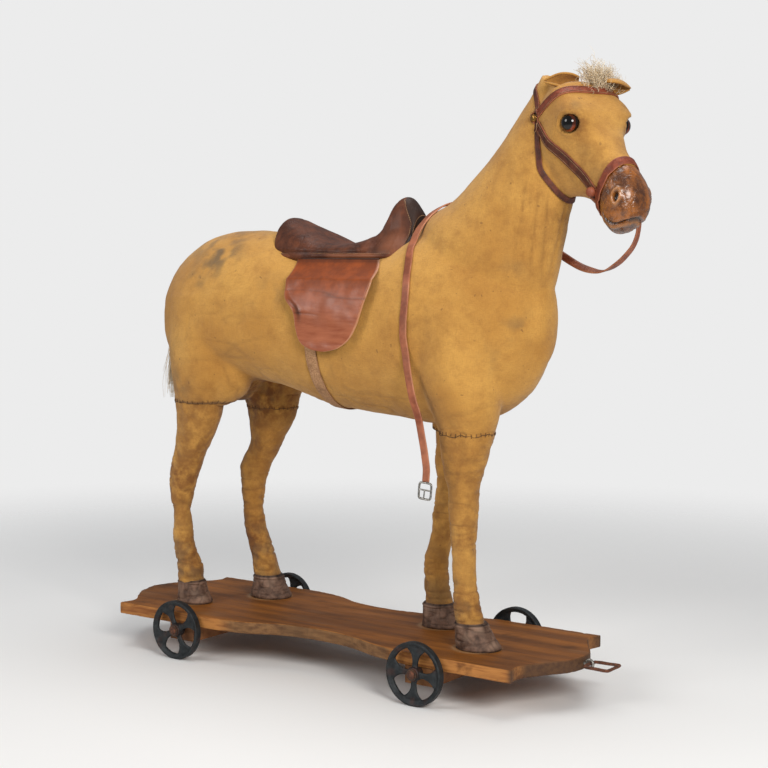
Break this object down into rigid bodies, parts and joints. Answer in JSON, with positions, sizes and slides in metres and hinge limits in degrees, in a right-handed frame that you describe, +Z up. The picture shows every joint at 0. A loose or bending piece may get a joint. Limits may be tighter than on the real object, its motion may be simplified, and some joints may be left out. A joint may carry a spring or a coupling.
{
  "type": "horse pull toy",
  "caption": "Stuffed cloth horse with a leather saddle and bridle, standing on a waisted board with four cast-iron spoked wheels and a pull link at the front.",
  "frame": {"origin": "on the floor, under the middle of the toy's length and width, measured without the loose rein", "axes": "+X the way that the horse faces, +Y its left side, +Z up"},
  "size_m": [0.9532, 0.3152, 0.9224],
  "materials": {
    "cloth": "mustard cotton cloth, soiled",
    "muzzle": "brown moulded leather, waxed and cracked",
    "hoof": "grey-brown stiffened leather, dull",
    "leather": "dark red-brown harness leather",
    "flap": "red-brown polished saddle leather",
    "webbing": "pale brown woven webbing",
    "board": "stained and varnished, worn at the edges",
    "wood": "plain softwood, dark with age",
    "iron": "grey-black cast iron, worn paint",
    "rust": "rusty wrought iron",
    "steel": "dull steel wire",
    "brass": "tarnished brass",
    "glass": "dark brown glass with a black pupil, opaque",
    "hair": "pale horsehair"
  },
  "bodies": {
    "horse_on_board": {"axle_block_front": "wood", "axle_block_rear": "wood", "axle_front": "rust", "axle_rear": "rust", "axle_washer_front_left": "iron", "axle_washer_front_right": "iron", "axle_washer_rear_left": "iron", "axle_washer_rear_right": "iron", "base_board": "board", "block_screw_front_left": "iron", "block_screw_front_right": "iron", "block_screw_rear_left": "iron", "block_screw_rear_right": "iron", "body_plank": "wood", "brow_and_cheek_strap": "leather", "ear_left": "cloth", "ear_right": "cloth", "eye_left": "glass", "eye_right": "glass", "forelock": "hair", "girth": "webbing", "head": "cloth", "hitch_eye": "steel", "hoof_front_left": "hoof", "hoof_front_right": "hoof", "hoof_rear_left": "hoof", "hoof_rear_right": "hoof", "leg_front_left": "cloth", "leg_front_right": "cloth", "leg_rear_left": "cloth", "leg_rear_right": "cloth", "leg_rod_front_left": "rust", "leg_rod_front_right": "rust", "leg_rod_rear_left": "rust", "leg_rod_rear_right": "rust", "muzzle": "muzzle", "neck": "cloth", "neck_post": "wood", "noseband": "leather", "rein": "leather", "rein_buckle": "steel", "rod_nut_front_left": "iron", "rod_nut_front_right": "iron", "rod_nut_rear_left": "iron", "rod_nut_rear_right": "iron", "saddle_seat": "leather", "stud_cheek_left": "brass", "stud_cheek_right": "brass", "stud_temple_left": "brass", "stud_temple_right": "brass", "tail": "hair", "throat_strap": "leather", "torso": "cloth"},
    "wheel_front_right_body": {"wheel_front_right": "iron"},
    "wheel_front_left_body": {"wheel_front_left": "iron"},
    "wheel_rear_right_body": {"wheel_rear_right": "iron"},
    "wheel_rear_left_body": {"wheel_rear_left": "iron"},
    "pull_link_body": {"pull_link": "rust"},
    "saddle_flap_right_body": {"saddle_flap_right": "flap"},
    "saddle_flap_left_body": {"saddle_flap_left": "flap"}
  },
  "joints": [
    {"name": "wheel_front_right_spin", "type": "hinge", "parent": "horse_on_board", "child": "wheel_front_right_body", "pos_m": [0.17156, -0.1455, 0.04701], "axis": [0, 1, 0], "continuous": true},
    {"name": "wheel_front_left_spin", "type": "hinge", "parent": "horse_on_board", "child": "wheel_front_left_body", "pos_m": [0.17156, 0.1455, 0.04701], "axis": [0, 1, 0], "continuous": true},
    {"name": "wheel_rear_right_spin", "type": "hinge", "parent": "horse_on_board", "child": "wheel_rear_right_body", "pos_m": [-0.28964, -0.1455, 0.04701], "axis": [0, 1, 0], "continuous": true},
    {"name": "wheel_rear_left_spin", "type": "hinge", "parent": "horse_on_board", "child": "wheel_rear_left_body", "pos_m": [-0.28964, 0.1455, 0.04701], "axis": [0, 1, 0], "continuous": true},
    {"name": "pull_link_swing", "type": "hinge", "parent": "horse_on_board", "child": "pull_link_body", "pos_m": [0.37756, 0, 0.06356], "axis": [0, 1, 0], "range_deg": [-90, 90]},
    {"name": "saddle_flap_right_lift", "type": "hinge", "parent": "horse_on_board", "child": "saddle_flap_right_body", "pos_m": [-0.03254, -0.0675, 0.64327], "axis": [-1, 0, 0], "range_deg": [0, 70]},
    {"name": "saddle_flap_left_lift", "type": "hinge", "parent": "horse_on_board", "child": "saddle_flap_left_body", "pos_m": [-0.03254, 0.0675, 0.64327], "axis": [1, 0, 0], "range_deg": [0, 70]}
  ]
}
